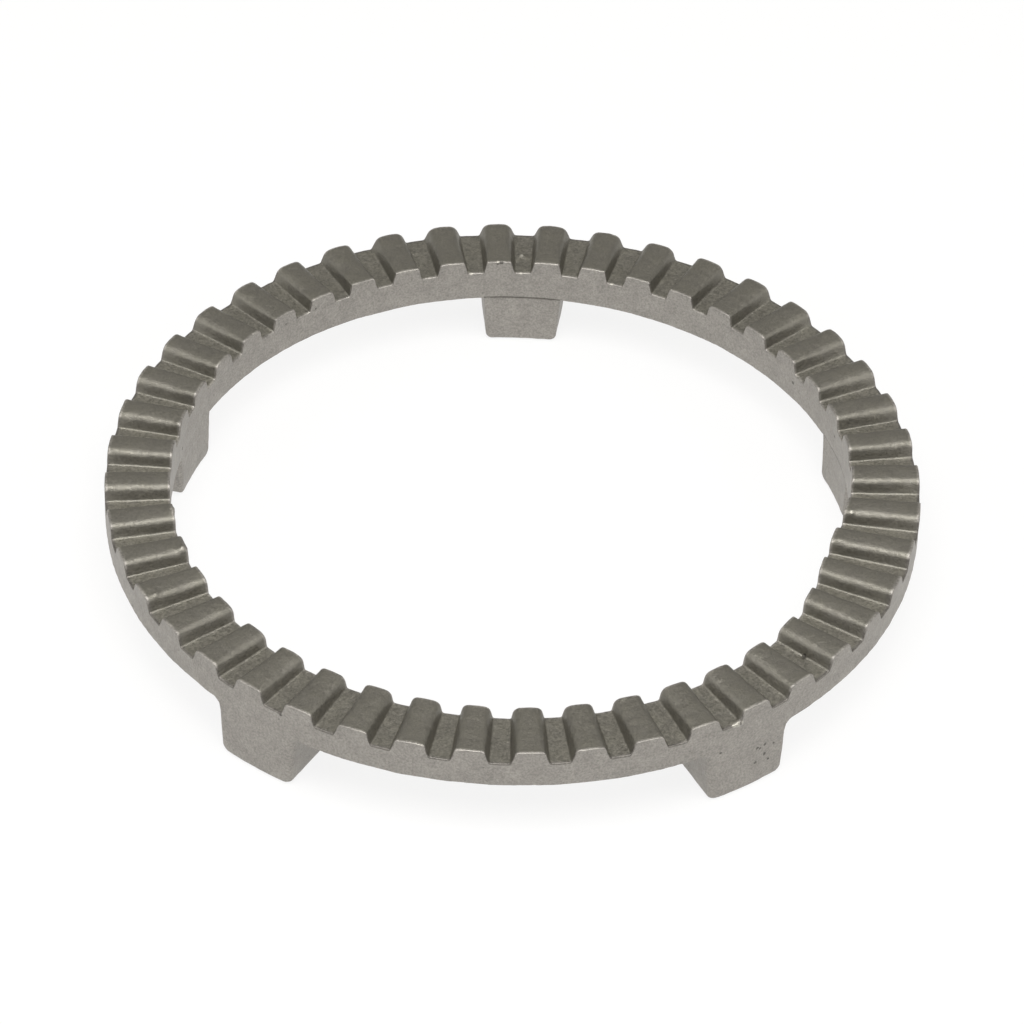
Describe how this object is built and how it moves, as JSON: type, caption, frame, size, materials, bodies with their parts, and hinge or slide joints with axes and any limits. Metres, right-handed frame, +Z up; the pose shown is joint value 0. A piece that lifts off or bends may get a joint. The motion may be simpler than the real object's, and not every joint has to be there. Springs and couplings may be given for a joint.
{
  "type": "abs tone ring",
  "caption": "Cast toothed ring on short legs, turned with a wheel hub so that a wheel-speed sensor reads its radial teeth.",
  "frame": {"origin": "on the ring's axis, in the plane of the legs' feet", "axes": "+Z up along the axis, towards the teeth; +Y through the middle of one leg"},
  "size_m": [0.15, 0.15, 0.0193],
  "materials": {
    "cast_iron": "as cast, satin, bare"
  },
  "bodies": {
    "root": {"tone_ring": "cast_iron"}
  },
  "joints": []
}
